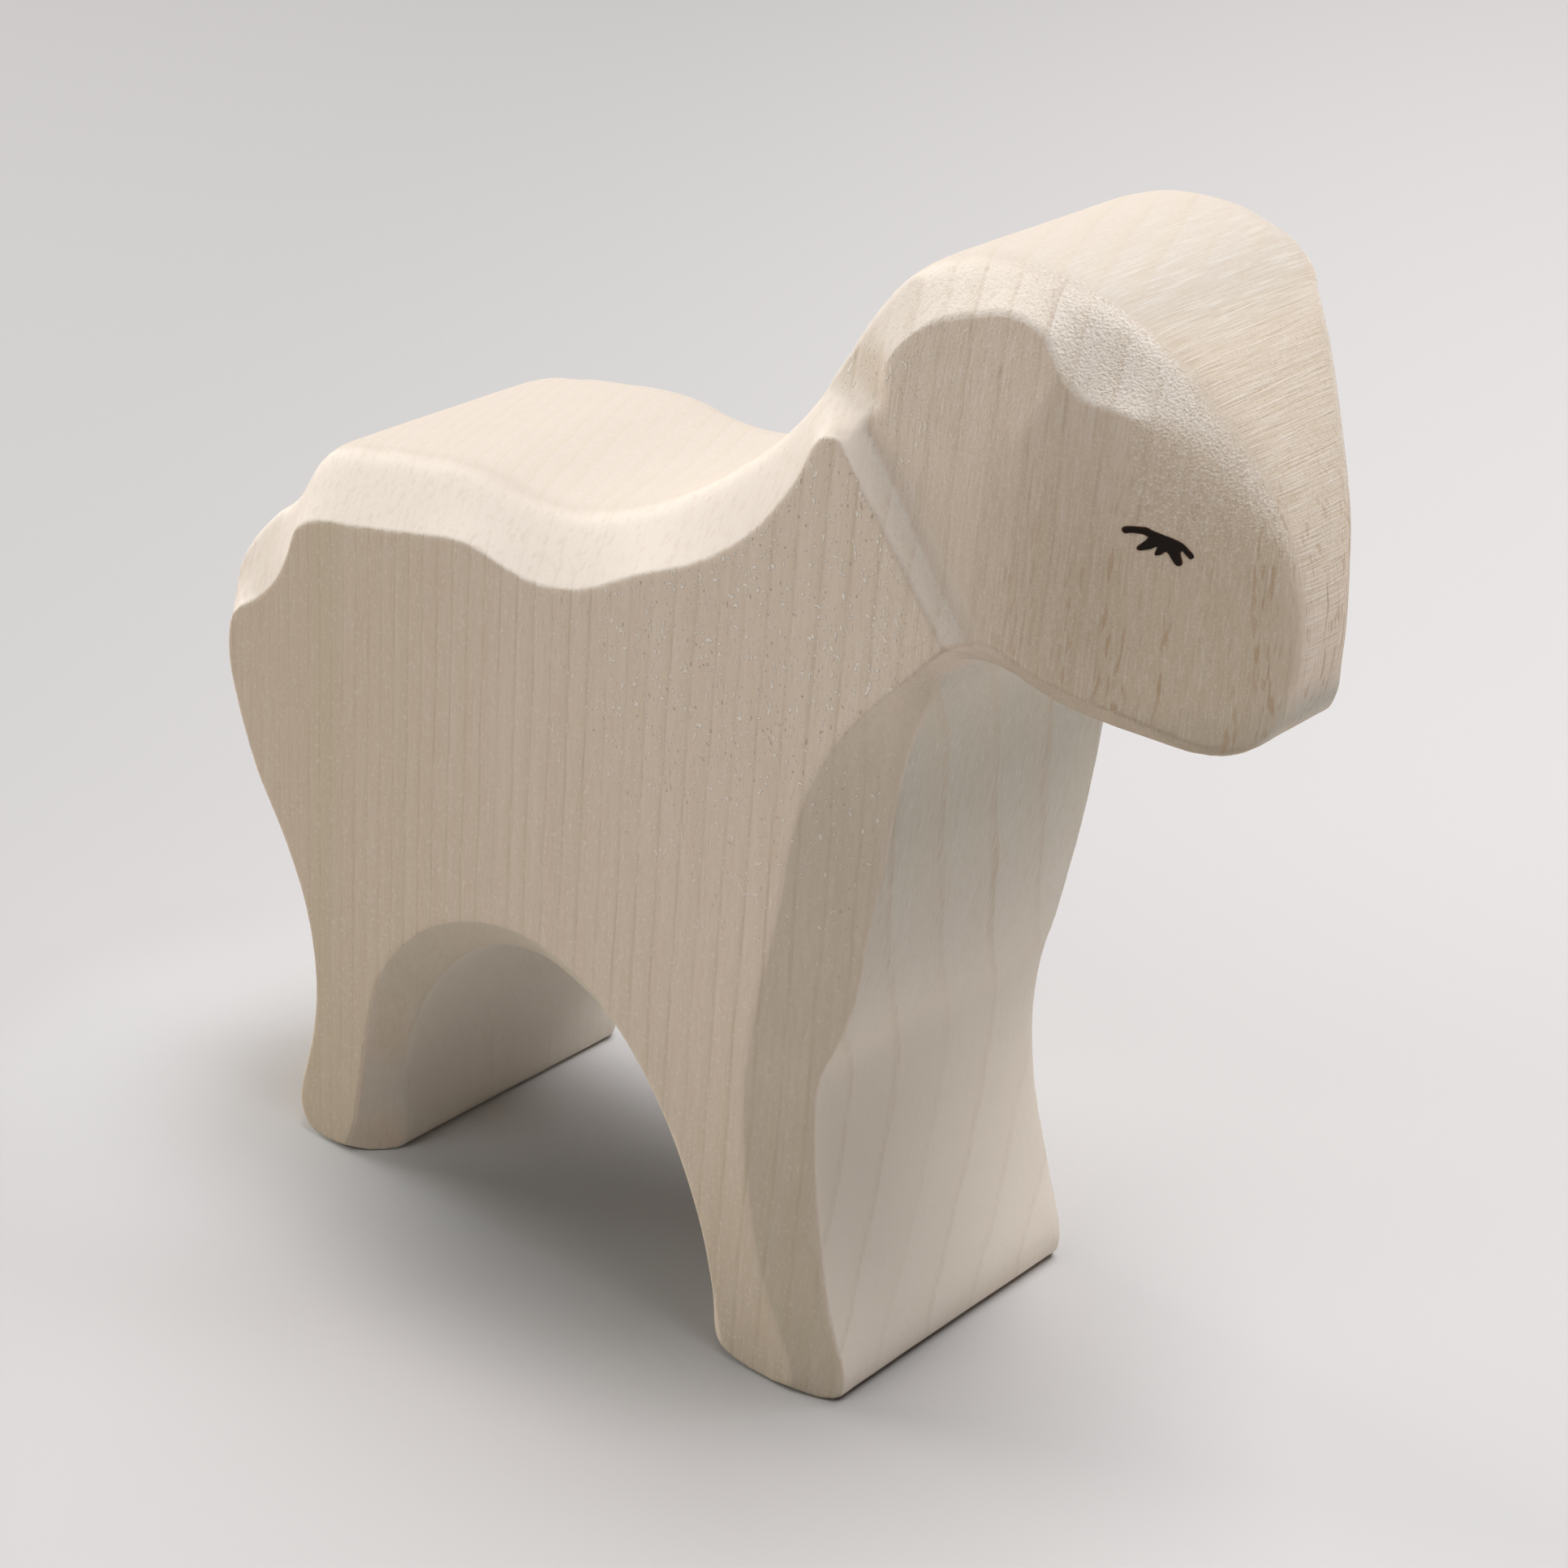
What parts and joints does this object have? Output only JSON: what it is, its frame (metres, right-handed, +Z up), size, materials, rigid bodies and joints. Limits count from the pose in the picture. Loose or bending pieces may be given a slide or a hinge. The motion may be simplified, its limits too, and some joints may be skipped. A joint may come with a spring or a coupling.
{
  "type": "wooden sheep figurine",
  "caption": "Free-standing sheep figurine sawn from a thick plank, with wide sanded bevels, a stepped-back tapering head and an inked sleeping eye on either side.",
  "frame": {"origin": "on the floor, under the middle of the figure's length and width", "axes": "+X forward to the nose, +Y to the animal's left, +Z up"},
  "size_m": [0.105, 0.032, 0.0983],
  "materials": {
    "pale_wood": "bare, hand sanded",
    "black_ink": "dried pen ink"
  },
  "bodies": {
    "root": {"carved_body": "pale_wood", "right_eye": "black_ink", "left_eye": "black_ink"}
  },
  "joints": []
}
